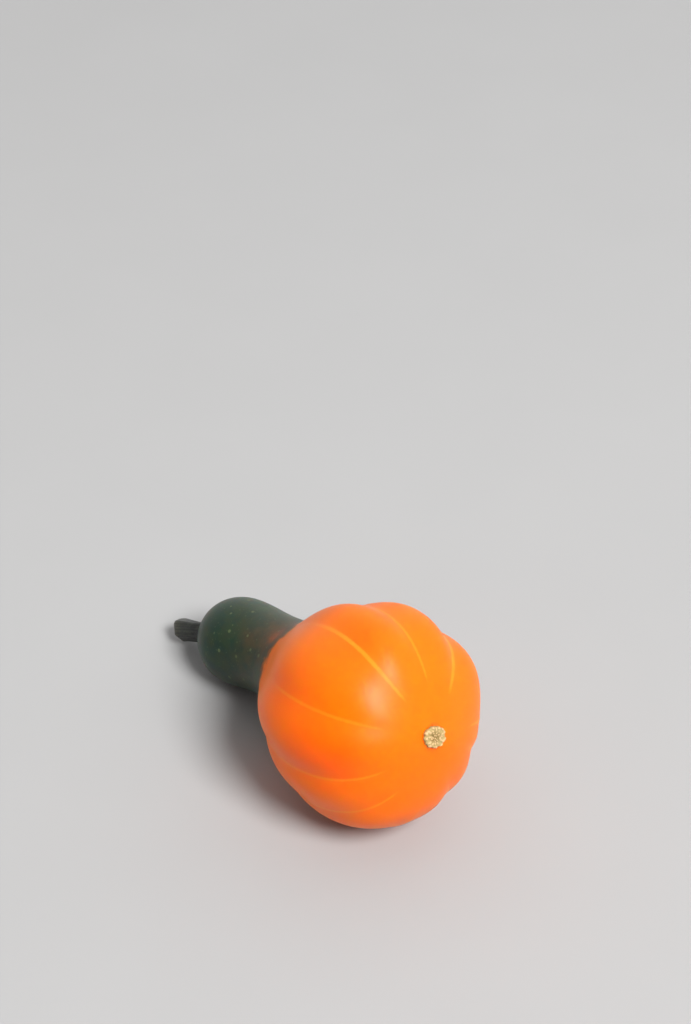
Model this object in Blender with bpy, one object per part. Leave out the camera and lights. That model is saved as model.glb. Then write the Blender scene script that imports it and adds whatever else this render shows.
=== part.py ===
"""Pear-shaped ornamental gourd that lies on its side.

Three pieces: the fruit (a ribbed bulb that runs on into a neck with a rounded head), the cut stem at
the head, and the corky scar at the blossom end. +X runs along the fruit towards the blossom end,
+Z is up, and the origin is in the small flat spot under the bulb that the fruit rests on.
"""

import bmesh
import bpy
import numpy as np
from mathutils import Vector

MM = 0.001

# The fruit's turned profile: control points of a smooth curve, as the distance along the axis from
# the bulb's centre and the radius, both in millimetres, from the blossom end to the stem end.
PROFILE = (
    (36.2, 0.0),
    (31.1, 23.2),
    (19.6, 37.6),
    (-3.4, 40.7),
    (-20.6, 33.7),
    (-34.0, 24.5),
    (-45.6, 16.8),
    (-63.2, 15.3),
    (-80.6, 18.0),
    (-90.7, 13.5),
    (-96.7, 5.8),
    (-100.1, 0.0),
)

# The axis bends. Its slope and its turn to the side, in degrees, are polynomials in the distance
# from the bulb's centre over BEND_LENGTH.
AXIS_SLOPE = (17.9, 6.4, 3.7)
AXIS_TURN = (0.0, 8.0, 9.2)
BEND_LENGTH = 50.0 * MM

# Where the bulb's centre lies, so that the flat spot under the bulb is at the origin.
BULB_CENTRE = (0.0 * MM, 1.4 * MM, 37.95 * MM)

# The ten grooves: azimuth in degrees from the top of the fruit towards -Y, depth as a share of the
# radius, and how far the lobe that follows swells, also as a share of the radius.
GROOVES = (
    (12.9, 0.024, -0.011),
    (53.6, 0.045, 0.003),
    (93.0, 0.062, -0.030),
    (120.8, 0.036, 0.009),
    (160.0, 0.008, -0.005),
    (193.4, 0.055, -0.005),
    (227.4, 0.056, -0.015),
    (249.3, 0.010, 0.027),
    (303.3, 0.065, 0.009),
    (341.2, 0.045, 0.027),
)

# How softly a groove's bottom is rounded, as a share of half a lobe.
GROOVE_SOFTNESS = 0.3

# The grooves start a little way from the blossom scar and die out along the neck. These are polar
# angles in degrees about the bulb's centre, from the blossom end.
GROOVE_STARTS = (12.0, 55.0)
GROOVE_ENDS = (135.0, 165.0)

# Flat seats at the two ends of the fruit, for the scar and the stem.
SCAR_SEAT_RADIUS = 5.4 * MM
STEM_SEAT_RADIUS = 4.2 * MM
SEAT_GAP = 0.3 * MM

# The stem: length, and its radius at stations along it, as shares of the length. Five blunt ridges
# run along it, and it ends in a cut face with a worn edge.
STEM_LENGTH = 15.8 * MM
STEM_STATIONS = (0.0, 0.06, 0.16, 0.35, 0.6, 0.8, 0.88, 0.94, 0.98, 1.0)
STEM_RADII = (4.5, 4.1, 3.75, 3.75, 4.05, 4.35, 4.3, 4.0, 3.5, 2.9)
STEM_RIDGES = 5
STEM_RIDGE_DEPTH = 0.06
STEM_TWIST = 14.0

# The blossom scar: a low corky disc, wider to the sides than upwards, with knobs round its rim and a
# sunk middle. Pairs of numbers are shares of its radius between which a rise or a fall takes place.
SCAR_RADIUS = 4.5 * MM
SCAR_STRETCH = 0.14
SCAR_KNOBS = 13
SCAR_KNOB_REACH = 0.06
SCAR_HEIGHT = 0.9 * MM
SCAR_KNOB_HEIGHT = 0.55 * MM
SCAR_HOLLOW = 0.4 * MM
SCAR_SHOULDER = 0.45 * MM
SCAR_RINGS = (0.2, 0.42, 0.62, 0.8, 0.93, 1.0)
HOLLOW_ENDS = (0.0, 0.7)
KNOBS_START = (0.4, 0.85)
KNOBS_END = (0.9, 1.1)
SHOULDER_FALL = (0.85, 1.05)

# How finely the surfaces are divided.
FRUIT_RINGS = 44
SIDES_PER_LOBE = 7
SIDES_PER_RIDGE = 6
SIDES_PER_KNOB = 3
CURVE_SAMPLES = 1200

# Points this close to the floor are put on it, so that the cut leaves no slivers.
FLOOR_SNAP = 0.2 * MM
CUT_TOLERANCE = 0.0001 * MM

# Edges that turn more than this many degrees stay sharp.
SHARP_ANGLE = 50.0

# Each material's colour and roughness.
ORANGE_SKIN = ((0.90, 0.19, 0.015), 0.42)
STEM_GREEN = ((0.045, 0.05, 0.04), 0.7)
SCAR_TAN = ((0.62, 0.42, 0.20), 0.85)


def clear_scene():
    """Removes every object of the startup scene."""
    for obj in list(bpy.data.objects):
        bpy.data.objects.remove(obj, do_unlink=True)


def make_material(name, look):
    """A plain non-metal material in one colour."""
    colour, roughness = look
    material = bpy.data.materials.new(name)
    material.use_nodes = True
    shader = material.node_tree.nodes["Principled BSDF"]
    shader.inputs["Base Color"].default_value = (*colour, 1.0)
    shader.inputs["Roughness"].default_value = roughness
    shader.inputs["Metallic"].default_value = 0.0
    return material


def smooth_step(values, low, high):
    """0 below low, 1 above high, and a smooth rise between them."""
    share = np.clip((values - low) / (high - low), 0.0, 1.0)
    return share * share * (3.0 - 2.0 * share)


def profile_curve():
    """Axial places and radii along the profile: a cubic B-spline, mirrored at both poles."""
    points = np.array(PROFILE) * MM
    mirror = np.array([1.0, -1.0])
    points = np.vstack([points[1] * mirror, points, points[-2] * mirror])
    spans = len(PROFILE) - 1
    place = np.linspace(0.0, spans, CURVE_SAMPLES)
    first = np.minimum(place.astype(int), spans - 1)
    t = (place - first)[:, None]
    curve = (
        (1 - t) ** 3 * points[first]
        + (3 * t**3 - 6 * t**2 + 4) * points[first + 1]
        + (-3 * t**3 + 3 * t**2 + 3 * t + 1) * points[first + 2]
        + t**3 * points[first + 3]
    ) / 6.0
    return curve[:, 0], curve[:, 1]


def polynomial_degrees(coefficients, distance):
    """An angle in radians from a polynomial whose coefficients are in degrees."""
    share = distance / BEND_LENGTH
    return np.radians(sum(c * share**power for power, c in enumerate(coefficients)))


def axis_at(axial):
    """Points, tangents, up and side directions of the bent axis at the given distances along it."""
    reach = np.linspace(axial.min(), axial.max(), CURVE_SAMPLES)
    slope = polynomial_degrees(AXIS_SLOPE, reach)
    turn = polynomial_degrees(AXIS_TURN, reach)
    heading = np.stack([np.cos(slope) * np.cos(turn), np.cos(slope) * np.sin(turn), np.sin(slope)], axis=1)
    steps = (heading[1:] + heading[:-1]) / 2 * np.diff(reach)[:, None]
    line = np.vstack([np.zeros(3), np.cumsum(steps, axis=0)])
    at_centre = np.array([np.interp(0.0, reach, line[:, k]) for k in range(3)])
    line = line - at_centre + np.array(BULB_CENTRE)
    point = np.stack([np.interp(axial, reach, line[:, k]) for k in range(3)], axis=1)
    tangent = np.stack([np.interp(axial, reach, heading[:, k]) for k in range(3)], axis=1)
    tangent /= np.linalg.norm(tangent, axis=1)[:, None]
    up = np.array([0.0, 0.0, 1.0]) - tangent[:, 2:3] * tangent
    up /= np.linalg.norm(up, axis=1)[:, None]
    side = np.cross(tangent, up)
    return point, tangent, up, side


def lobe_azimuths():
    """Azimuths round the fruit, with a point in every groove and the same number across each lobe."""
    starts = [groove[0] for groove in GROOVES]
    ends = starts[1:] + [starts[0] + 360.0]
    share = np.arange(SIDES_PER_LOBE) / SIDES_PER_LOBE
    return np.radians(np.concatenate([a + (b - a) * share for a, b in zip(starts, ends)]))


def from_groove(share):
    """How far each share of the way across a lobe is from a groove: 0 in it, and 1 on the crest."""
    distance = 1.0 - np.abs(2.0 * share - 1.0)
    rounded = np.hypot(distance, GROOVE_SOFTNESS) - GROOVE_SOFTNESS
    return rounded / (np.hypot(1.0, GROOVE_SOFTNESS) - GROOVE_SOFTNESS)


def lobe_relief():
    """How far the surface sinks at each azimuth, as a share of the radius: round lobes between grooves."""
    relief = []
    for index, (_, depth, swell) in enumerate(GROOVES):
        next_depth = GROOVES[(index + 1) % len(GROOVES)][1]
        share = np.arange(SIDES_PER_LOBE) / SIDES_PER_LOBE
        edge = (1.0 - from_groove(share)) ** 2
        relief.append((depth * (1.0 - share) + next_depth * share) * edge - swell * (1.0 - edge))
    return np.concatenate(relief)


def fruit_rings():
    """The rings of points of the fruit, evenly spaced along its profile between the two seats."""
    axial, radius = profile_curve()
    widest = int(np.argmax(radius))
    first = int(np.argmax(radius > SCAR_SEAT_RADIUS))
    last = widest + int(np.argmax(radius[widest:] < STEM_SEAT_RADIUS))
    length = np.concatenate([[0.0], np.cumsum(np.hypot(np.diff(axial), np.diff(radius)))])
    stations = np.linspace(length[first], length[last], FRUIT_RINGS)
    ring_axial = np.interp(stations, length, axial)
    ring_radius = np.interp(stations, length, radius)
    polar = np.degrees(np.arctan2(ring_radius, ring_axial))
    strength = smooth_step(polar, *GROOVE_STARTS) * (1.0 - smooth_step(polar, *GROOVE_ENDS))
    azimuth = lobe_azimuths()
    reach = ring_radius[:, None] * (1.0 - strength[:, None] * lobe_relief()[None, :])
    point, _, up, side = axis_at(ring_axial)
    out = np.cos(azimuth)[None, :, None] * up[:, None, :] + np.sin(azimuth)[None, :, None] * side[:, None, :]
    return point[:, None, :] + reach[:, :, None] * out


def add_rings(mesh, rings):
    """Adds rings of points, the bands of faces between them, and a flat cap at each end."""
    loops = [[mesh.verts.new(Vector(point)) for point in ring] for ring in rings]
    count = len(loops[0])
    for near, far in zip(loops, loops[1:]):
        for k in range(count):
            after = (k + 1) % count
            mesh.faces.new((near[k], near[after], far[after], far[k]))
    mesh.faces.new(loops[0])
    mesh.faces.new(list(reversed(loops[-1])))


def finish_object(mesh, name, material):
    """Turns a bmesh into a named object in the scene, with its faces pointing out."""
    bmesh.ops.recalc_face_normals(mesh, faces=mesh.faces)
    data = bpy.data.meshes.new(name)
    mesh.to_mesh(data)
    mesh.free()
    data.materials.append(material)
    data.shade_smooth()
    data.set_sharp_from_angle(angle=np.radians(SHARP_ANGLE))
    obj = bpy.data.objects.new(name, data)
    bpy.context.scene.collection.objects.link(obj)
    return obj


def cut_at_floor(mesh):
    """Cuts the solid off at the floor, which leaves a flat spot under the bulb and one under the head."""
    for vert in mesh.verts:
        if abs(vert.co.z) < FLOOR_SNAP:
            vert.co.z = 0.0
    everything = mesh.verts[:] + mesh.edges[:] + mesh.faces[:]
    bmesh.ops.bisect_plane(
        mesh, geom=everything, dist=CUT_TOLERANCE, plane_co=(0, 0, 0), plane_no=(0, 0, -1), clear_outer=True
    )
    rim = [edge for edge in mesh.edges if edge.is_boundary]
    bmesh.ops.edgeloop_fill(mesh, edges=rim)


def build_fruit():
    """The bulb, neck and head, as one closed solid with its small resting flats."""
    mesh = bmesh.new()
    add_rings(mesh, fruit_rings())
    cut_at_floor(mesh)
    return finish_object(mesh, "fruit", make_material("gourd_skin", ORANGE_SKIN))


def end_frame(radius_wanted, at_stem):
    """Centre, outward, up and side directions of the seat at one end of the fruit."""
    axial, radius = profile_curve()
    if at_stem:
        axial = axial[::-1]
        radius = radius[::-1]
    seat = axial[int(np.argmax(radius > radius_wanted))]
    reach = np.array([min(seat, 0.0), seat, max(seat, 0.0)])
    point, tangent, up, side = axis_at(reach)
    outward = -tangent[1] if at_stem else tangent[1]
    return point[1], outward, up[1], side[1]


def build_stem():
    """The cut stem, which carries on in line with the neck."""
    seat, outward, up, side = end_frame(STEM_SEAT_RADIUS, at_stem=True)
    azimuth = np.linspace(0.0, 2 * np.pi, STEM_RIDGES * SIDES_PER_RIDGE, endpoint=False)
    rings = []
    for station, radius in zip(STEM_STATIONS, STEM_RADII):
        ridge = 1.0 + STEM_RIDGE_DEPTH * np.cos(STEM_RIDGES * azimuth)
        angle = azimuth + np.radians(STEM_TWIST) * station
        out = np.cos(angle)[:, None] * up + np.sin(angle)[:, None] * side
        centre = seat + outward * (SEAT_GAP + station * STEM_LENGTH)
        rings.append(centre + radius * MM * ridge[:, None] * out)
    mesh = bmesh.new()
    add_rings(mesh, rings)
    return finish_object(mesh, "stem", make_material("stem_bark", STEM_GREEN))


def build_blossom_scar():
    """The corky scar: a flat underside, a knobbed wall, and a top that sinks to the middle."""
    seat, outward, up, side = end_frame(SCAR_SEAT_RADIUS, at_stem=False)
    azimuth = np.linspace(0.0, 2 * np.pi, SCAR_KNOBS * SIDES_PER_KNOB, endpoint=False)
    knob = 0.5 + 0.5 * np.cos(SCAR_KNOBS * azimuth)
    edge = SCAR_RADIUS * (1.0 - SCAR_STRETCH * np.cos(2 * azimuth)) * (1.0 - SCAR_KNOB_REACH * (1.0 - knob))
    out = np.cos(azimuth)[:, None] * up + np.sin(azimuth)[:, None] * side
    base = seat + outward * SEAT_GAP
    rings = [base + edge[:, None] * out]
    for share in reversed(SCAR_RINGS):
        hollow = SCAR_HOLLOW * (1.0 - smooth_step(share, *HOLLOW_ENDS))
        knobbly = smooth_step(share, *KNOBS_START) * (1.0 - smooth_step(share, *KNOBS_END))
        shoulder = SCAR_SHOULDER * smooth_step(share, *SHOULDER_FALL)
        height = SCAR_HEIGHT - hollow - shoulder + SCAR_KNOB_HEIGHT * knobbly * knob
        rings.append(base + outward * height[:, None] + (edge * share)[:, None] * out)
    mesh = bmesh.new()
    add_rings(mesh, rings)
    return finish_object(mesh, "blossom_scar", make_material("scar_cork", SCAR_TAN))


def build_gourd():
    """Builds the whole gourd."""
    clear_scene()
    build_fruit()
    build_stem()
    build_blossom_scar()


build_gourd()
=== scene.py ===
"""Dresses a small pear-shaped ornamental gourd that lies on its side.

Three pieces stand for the three solids of the frame: the fruit's skin, which is a ribbed orange bulb
that runs on into a dark green neck, the ridged stem, and the corky blossom scar. Lengths are in
millimetres until a mesh is made, and +X runs along the fruit towards the blossom end.
"""

import logging
import math
from dataclasses import astuple, dataclass, field
from enum import Enum
from typing import ClassVar

import bpy
import numpy as np
from mathutils import Matrix, Vector


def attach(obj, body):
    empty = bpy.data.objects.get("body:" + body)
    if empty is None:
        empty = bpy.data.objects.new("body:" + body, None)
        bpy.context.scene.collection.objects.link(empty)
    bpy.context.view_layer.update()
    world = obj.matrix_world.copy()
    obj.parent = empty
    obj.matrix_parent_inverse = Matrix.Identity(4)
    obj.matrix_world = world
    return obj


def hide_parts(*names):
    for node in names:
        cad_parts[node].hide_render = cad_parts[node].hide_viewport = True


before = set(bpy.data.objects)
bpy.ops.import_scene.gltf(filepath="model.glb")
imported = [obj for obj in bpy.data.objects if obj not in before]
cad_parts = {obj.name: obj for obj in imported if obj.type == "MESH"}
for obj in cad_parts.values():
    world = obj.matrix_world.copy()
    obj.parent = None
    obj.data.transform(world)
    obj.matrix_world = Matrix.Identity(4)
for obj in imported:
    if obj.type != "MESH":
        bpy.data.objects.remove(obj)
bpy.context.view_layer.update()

METRES_PER_MM = 0.001
FULL_TURN = 2.0 * math.pi

Array = np.ndarray
Colour = tuple[float, float, float]
Socket = bpy.types.NodeSocket
Feed = Socket | float | tuple[float, ...]

log = logging.getLogger("gourd")


class Piece(Enum):
    """The pieces of the gourd, each with the solid that it stands for and that solid's material slot."""

    FRUIT = ("fruit", "gourd_skin")
    STEM = ("stem", "stem_bark")
    SCAR = ("blossom_scar", "scar_cork")

    @property
    def node(self) -> str:
        """The name of the solid."""
        return self.value[0]

    @property
    def slot(self) -> str:
        """The name of the solid's material slot."""
        return self.value[1]


class Sum(Enum):
    """The sums that the finishes need."""

    PLUS = "ADD"
    LESS = "SUBTRACT"
    TIMES = "MULTIPLY"
    TIMES_PLUS = "MULTIPLY_ADD"
    LARGER = "MAXIMUM"


def smooth_step(values: Array | float, low: float, high: float) -> Array:
    """Rises smoothly from 0 at low to 1 at high: three times the share squared less twice its cube."""
    share = np.clip((np.asarray(values, float) - low) / (high - low), 0.0, 1.0)
    return share * share * (3.0 - 2.0 * share)


def outwards(azimuth: Array, up: Array, side: Array) -> Array:
    """The way straight out from an axis: the azimuth's cosine times up plus its sine times side."""
    return np.cos(azimuth)[..., None] * up + np.sin(azimuth)[..., None] * side


def direction(azimuth: float, elevation: float) -> Vector:
    """The unit direction at an azimuth, from +X towards +Y, and an elevation, both in radians."""
    flat = math.cos(elevation)
    return Vector((flat * math.cos(azimuth), flat * math.sin(azimuth), math.sin(elevation)))


def gentle_waves(points: Array, wavelength: float, count: int, seed: int) -> Array:
    """Smooth uneven relief: the sum of sine waves that run in random directions, scaled to about 1.

    Args:
        points: Points in millimetres, with the three coordinates last.
        wavelength: The middle length of a wave, in millimetres.
        count: How many waves are summed.
        seed: Seed of the draw.

    Returns:
        The relief at each point, mostly between -1 and 1.
    """
    draw = np.random.default_rng(seed)
    directions = draw.normal(size=(count, 3))
    directions /= np.linalg.norm(directions, axis=1)[:, None]
    lengths = wavelength * draw.uniform(0.7, 1.4, count)
    phases = draw.uniform(0.0, FULL_TURN, count)
    turns = points @ (directions / lengths[:, None]).T * FULL_TURN
    return np.sin(turns + phases).sum(axis=-1) / math.sqrt(2.0 * count)


@dataclass
class TurnedGrid:
    """A closed surface made of rings of points, with a pole at each end.

    Attributes:
        rings: Points in millimetres, as rings by places round a ring by three.
        first_pole: The point that closes the first ring.
        last_pole: The point that closes the last ring.
        values: Named values for each point, or each ring or side, carried to the mesh as attributes.
    """

    rings: Array
    first_pole: Array
    last_pole: Array
    values: dict[str, Array] = field(default_factory=dict)

    def faces(self) -> tuple[Array, Array]:
        """Joins neighbouring rings with four-sided faces and each pole to its ring with triangles.

        Returns:
            The corners of all faces in one row, and the number of corners of each face.
        """
        count, sides = self.rings.shape[:2]
        near = np.arange(sides)
        after = (near + 1) % sides
        start = (np.arange(count - 1) * sides)[:, None]
        further = start + sides
        quads = np.stack([start + near, further + near, further + after, start + after], axis=-1)
        last = (count - 1) * sides
        first_fan = np.stack([np.full(sides, count * sides), near, after], axis=-1)
        last_fan = np.stack([np.full(sides, count * sides + 1), last + after, last + near], axis=-1)
        corners = np.concatenate([quads.reshape(-1), first_fan.reshape(-1), last_fan.reshape(-1)])
        sizes = np.concatenate([np.full((count - 1) * sides, 4), np.full(2 * sides, 3)])
        return corners, sizes

    def skin_map(self, corners: Array, sizes: Array) -> Array:
        """The surface's own map: the share of the way round a ring, and the share of the way along.

        Args:
            corners: The corners of all faces in one row.
            sizes: The number of corners of each face.

        Returns:
            A pair of map coordinates for each corner.
        """
        count, sides = self.rings.shape[:2]
        ring = np.clip(corners // sides, 0, count - 1)
        round_share = (corners % sides) / sides
        along_share = (ring + 1) / (count + 1)
        at_first = corners == count * sides
        at_last = corners == count * sides + 1
        along_share = np.where(at_first, 0.0, np.where(at_last, 1.0, along_share))
        face_of = np.repeat(np.arange(len(sizes)), sizes)
        off_pole = np.where(at_first | at_last, 0.0, round_share)
        largest = np.maximum.reduceat(off_pole, np.cumsum(sizes) - sizes)
        wraps = (largest[face_of] > 0.75) & (round_share < 0.25)
        round_share = np.where(wraps, round_share + 1.0, round_share)
        round_share = np.where(at_first | at_last, largest[face_of], round_share)
        return np.stack([round_share, along_share], axis=1)

    def make(self, name: str) -> bpy.types.Object:
        """Puts the grid into a smooth mesh object in metres, with its map and its named values.

        Args:
            name: The object's name.

        Returns:
            The new object, linked to the scene.
        """
        corners, sizes = self.faces()
        points = np.vstack([self.rings.reshape(-1, 3), self.first_pole, self.last_pole]) * METRES_PER_MM
        mesh = bpy.data.meshes.new(name)
        mesh.vertices.add(len(points))
        mesh.vertices.foreach_set("co", points.astype(np.float32).ravel())
        mesh.loops.add(len(corners))
        mesh.loops.foreach_set("vertex_index", corners.astype(np.int32))
        mesh.polygons.add(len(sizes))
        mesh.polygons.foreach_set("loop_start", (np.cumsum(sizes) - sizes).astype(np.int32))
        mesh.polygons.foreach_set("loop_total", sizes.astype(np.int32))
        mesh.update(calc_edges=True)
        mesh.validate()
        mesh.shade_smooth()
        layer = mesh.uv_layers.new(name="skin_map")
        layer.data.foreach_set("uv", self.skin_map(corners, sizes).astype(np.float32).ravel())
        for label, given in self.values.items():
            values = np.broadcast_to(given, self.rings.shape[:2])
            row = np.concatenate([values.reshape(-1), [values[0].mean(), values[-1].mean()]])
            store = mesh.attributes.new(label, "FLOAT", "POINT")
            store.data.foreach_set("value", row.astype(np.float32))
        obj = bpy.data.objects.new(name, mesh)
        bpy.context.scene.collection.objects.link(obj)
        return obj


class Nodes:
    """Adds nodes to a node tree and joins them up."""

    def __init__(self, tree: bpy.types.NodeTree) -> None:
        """Starts on a tree, which keeps what it already holds."""
        self.tree = tree

    def feed(self, socket: Socket, value: Feed) -> None:
        """Links a socket to another one, or sets its own value.

        Args:
            socket: The input to feed.
            value: An output to link from, a number, a vector or a colour.
        """
        if isinstance(value, bpy.types.NodeSocket):
            self.tree.links.new(value, socket)
        else:
            socket.default_value = (*value, 1.0) if socket.type == "RGBA" else value

    def node(self, kind: str, inputs: dict[str | int, Feed], **settings: str) -> bpy.types.Node:
        """Adds a node, sets it and feeds its inputs.

        Args:
            kind: The kind of node, without the words that every kind starts with.
            inputs: What goes in, by the inputs' names or numbers.
            settings: The node's own settings.

        Returns:
            The node.
        """
        node = self.tree.nodes.new(f"ShaderNode{kind}")
        for name, setting in settings.items():
            setattr(node, name, setting)
        for key, value in inputs.items():
            self.feed(node.inputs[key], value)
        return node

    def maths(self, kind: Sum, *values: Socket | float) -> Socket:
        """Works out one sum of some values, which go in in their order."""
        return self.node("Math", dict(enumerate(values)), operation=kind.value).outputs[0]


class Shading(Nodes):
    """Builds the nodes of one material."""

    def __init__(self, name: str) -> None:
        """Makes an empty material that ends in a Principled shader.

        Args:
            name: The material's name.
        """
        self.material = bpy.data.materials.new(name)
        self.material.use_nodes = True
        super().__init__(self.material.node_tree)

    def rise(self, value: Socket, low: float, high: float, start: float = 0.0, end: float = 1.0) -> Socket:
        """A smooth change from start to end while a value goes from low to high, or down to high."""
        inputs = dict(enumerate((value, low, high, start, end)))
        return self.node("MapRange", inputs, interpolation_type="SMOOTHSTEP").outputs[0]

    def mix(self, share: Socket | float, base: Socket | Colour, over: Socket | Colour) -> Socket:
        """Mixes two colours.

        Args:
            share: How much of the second colour shows.
            base: The first colour.
            over: The second colour.

        Returns:
            The mixed colour.
        """
        node = self.node("Mix", {0: share}, data_type="RGBA")
        colours = (socket for socket in node.inputs if socket.type == "RGBA")
        for socket, colour in zip(colours, (base, over)):
            self.feed(socket, colour)
        return next(socket for socket in node.outputs if socket.type == "RGBA")

    def place(self) -> Socket:
        """Reads the point on the piece.

        Returns:
            The point, in millimetres.
        """
        source = self.node("TexCoord", {}).outputs["Object"]
        scale = (1.0 / METRES_PER_MM,) * 3
        return self.node("Mapping", {"Vector": source, "Scale": scale}).outputs["Vector"]

    def noise(self, place: Socket, grain: float, detail: float = 2.0, roughness: float = 0.5) -> Socket:
        """Soft random blotches around one half, as large as the grain in millimetres, with finer layers."""
        inputs = {"Vector": place, "Scale": 1.0 / grain, "Detail": detail, "Roughness": roughness}
        return self.node("TexNoise", inputs).outputs["Fac"]

    def spots(self, place: Socket, spacing: float) -> tuple[Socket, Socket]:
        """Scattered spots, one in each cell of a random net.

        Args:
            place: Where the pattern is read, in millimetres.
            spacing: The mean distance between spots, in millimetres.

        Returns:
            The distance to the nearest spot in millimetres, and a random number of its own for each spot.
        """
        node = self.node("TexVoronoi", {"Vector": place, "Scale": 1.0 / spacing})
        split = self.node("SeparateColor", {"Color": node.outputs["Color"]})
        return self.maths(Sum.TIMES, node.outputs["Distance"], spacing), split.outputs["Red"]

    def value_of(self, name: str) -> Socket:
        """A named value that the mesh carries."""
        return self.node("Attribute", {}, attribute_name=name).outputs["Fac"]

    def bump(self, height: Socket, depth: float, strength: float, under: Socket | None = None) -> Socket:
        """Fine relief that only turns the surface's normal.

        Args:
            height: The relief, between 0 and 1.
            depth: The height of the relief, in millimetres.
            strength: How strongly it shows.
            under: The normal of coarser relief that this one lies on.

        Returns:
            The turned normal.
        """
        inputs = {"Distance": depth * METRES_PER_MM, "Strength": strength, "Height": height}
        node = self.node("Bump", inputs if under is None else {**inputs, "Normal": under})
        return node.outputs["Normal"]

    def finish(self, inputs: dict[str, Feed]) -> bpy.types.Material:
        """Feeds the shader.

        Args:
            inputs: What goes into its inputs, by their names.

        Returns:
            The finished material.
        """
        shader = self.tree.nodes["Principled BSDF"]
        for name, value in inputs.items():
            self.feed(shader.inputs[name], value)
        return self.material


@dataclass(frozen=True)
class Groove:
    """One groove of the bulb and the lobe that follows it.

    Attributes:
        azimuth: Where the groove runs, in degrees from the top of the fruit towards -Y.
        depth: Its depth, as a share of the radius.
        swell: How far the lobe after it swells, as a share of the radius.
        vein: How clearly the golden line in it shows, from 0 to 1.
        vein_width: The line's width against that of the others.
        vein_end: Polar angle where the line ends near the blossom scar, in degrees.
        lean: How far the groove leans to the side near the blossom scar, in degrees.
        sway: How far it wanders to the side, in degrees.
        sway_phase: Where along the fruit it starts to wander, in turns.
    """

    azimuth: float
    depth: float
    swell: float
    vein: float
    vein_width: float
    vein_end: float
    lean: float
    sway: float
    sway_phase: float


GROOVES = (
    Groove(12.9, 0.024, -0.011, 0.95, 1.30, 27.5, 3.0, 0.5, 0.10),
    Groove(53.6, 0.045, 0.003, 0.60, 0.95, 32.5, 0.5, 0.5, 0.55),
    Groove(93.0, 0.062, -0.030, 0.50, 0.95, 34.5, 2.5, 0.5, 0.80),
    Groove(120.8, 0.036, 0.009, 0.60, 1.00, 35.5, 3.5, 0.5, 0.25),
    Groove(160.0, -0.003, -0.005, 0.30, 0.90, 40.0, 0.0, 1.0, 0.60),
    Groove(193.4, 0.048, -0.005, 0.50, 1.00, 38.0, -3.0, 0.6, 0.35),
    Groove(227.4, 0.056, -0.015, 0.45, 0.90, 40.0, 0.0, 0.6, 0.90),
    Groove(249.3, 0.010, 0.027, 0.65, 1.10, 31.5, -2.0, 0.6, 0.15),
    Groove(303.3, 0.065, 0.009, 1.00, 1.90, 27.0, -0.5, 0.4, 0.45),
    Groove(341.2, 0.045, 0.027, 0.75, 0.95, 30.5, -3.0, 0.5, 0.70),
)


def of_grooves(name: str) -> Array:
    """One value of every groove, in order round the fruit."""
    return np.array([getattr(groove, name) for groove in GROOVES])


@dataclass(frozen=True)
class Patch:
    """One soft round patch of another colour on the skin.

    Attributes:
        axial: Its place along the axis from the bulb's centre, in millimetres.
        azimuth: Its place round the fruit, in degrees from the top towards -Y.
        size: How far from its middle it has faded to about a third, in millimetres.
        strength: How clearly it shows in its middle, from 0 to 1.
    """

    axial: float
    azimuth: float
    size: float
    strength: float


RUDDY_PATCHES = (
    Patch(12.0, 80.0, 12.0, 0.70),
    Patch(24.0, 80.0, 8.0, 0.60),
    Patch(-5.0, 55.0, 12.0, 0.55),
    Patch(14.0, 6.0, 8.0, 0.35),
)

RUSTY_PATCHES = (
    Patch(-45.9, 24.0, 2.8, 0.75),
    Patch(-45.2, 14.0, 2.6, 0.35),
    Patch(-59.8, 34.0, 3.2, 0.14),
    Patch(-47.0, 20.0, 9.0, 0.25),
    Patch(-40.0, 20.0, 5.0, 0.25),
)

# Patches of painted sheen: a pale grey-green laid where grazing light from behind brightens and greys the
# neck's top and the bulb's edge.
PAINTED_SHEEN_PATCHES = (
    Patch(-48.0, 318.0, 9.5, 0.36),
    Patch(-60.0, 318.0, 9.5, 0.32),
    Patch(-72.0, 318.0, 9.5, 0.32),
    Patch(-85.0, 330.0, 9.5, 0.36),
    Patch(-91.0, 30.0, 9.0, 0.20),
    Patch(-27.0, 68.0, 9.0, 0.26),
    Patch(-21.0, 92.0, 8.0, 0.19),
    Patch(-12.0, 86.0, 9.0, 0.07),
)


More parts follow.
